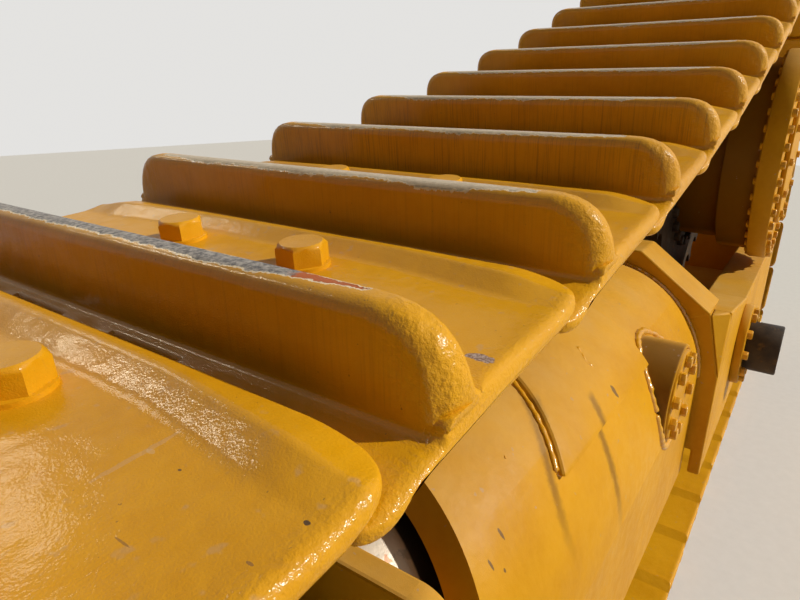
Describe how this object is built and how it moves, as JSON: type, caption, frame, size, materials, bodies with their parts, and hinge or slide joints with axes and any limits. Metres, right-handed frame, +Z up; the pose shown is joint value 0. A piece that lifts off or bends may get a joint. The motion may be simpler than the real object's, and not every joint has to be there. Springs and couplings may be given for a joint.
{
  "type": "crawler bulldozer track unit",
  "caption": "Left track unit of a crawler bulldozer: shoe chain over a raised sprocket, tubular roller frame, two idlers, bottom rollers and final drive.",
  "frame": {"origin": "on the floor, midway between the idlers and over the middle of the shoes", "axes": "+X forward to the front idler, +Y outboard (the machine's left), +Z up"},
  "size_m": [4.3669, 0.81, 1.6588],
  "materials": {
    "track_paint": "glossy yellow paint over cast and rolled steel, worn to bare metal on the grouser tips",
    "yellow_paint": "glossy yellow paint with drips, dust and small chips",
    "dark_steel": "dark greasy steel with yellow overspray",
    "pale_steel": "dusty grey polished tube with flaking overspray"
  },
  "bodies": {
    "frame": {"equalizer_seat": "yellow_paint", "final_drive_case": "yellow_paint", "final_drive_cover": "yellow_paint", "final_drive_flange": "yellow_paint", "final_drive_hub": "yellow_paint", "frame_box": "yellow_paint", "frame_collar": "yellow_paint", "frame_tube": "yellow_paint", "front_bearing_inner": "yellow_paint", "front_bearing_outer": "yellow_paint", "front_fork_inner": "yellow_paint", "front_fork_outer": "yellow_paint", "front_idler_shaft": "dark_steel", "front_yoke": "yellow_paint", "pivot_housing": "yellow_paint", "rear_bearing_inner": "yellow_paint", "rear_bearing_outer": "yellow_paint", "rear_fork_inner": "yellow_paint", "rear_fork_outer": "yellow_paint", "rear_idler_shaft": "dark_steel", "rear_yoke": "yellow_paint", "recess_cover": "yellow_paint", "recoil_tube": "pale_steel", "roller_1": "dark_steel", "roller_2": "dark_steel", "roller_3": "dark_steel", "roller_4": "dark_steel", "roller_5": "dark_steel", "roller_6": "dark_steel", "roller_7": "dark_steel", "roller_8": "dark_steel", "roller_bar_inner": "yellow_paint", "roller_bar_outer": "yellow_paint", "sprocket": "dark_steel", "sprocket_carrier": "yellow_paint", "track": "track_paint", "trunnion_flange": "yellow_paint", "trunnion_pin": "dark_steel", "tube_pad": "yellow_paint"},
    "front_idler_wheel": {"front_idler": "dark_steel"},
    "rear_idler_wheel": {"rear_idler": "dark_steel"}
  },
  "joints": [
    {"name": "front_idler_spin", "type": "hinge", "parent": "frame", "child": "front_idler_wheel", "pos_m": [1.63412, 0, 0.565], "axis": [0, 1, 0], "continuous": true},
    {"name": "rear_idler_spin", "type": "hinge", "parent": "frame", "child": "rear_idler_wheel", "pos_m": [-1.63412, 0, 0.565], "axis": [0, 1, 0], "continuous": true}
  ]
}
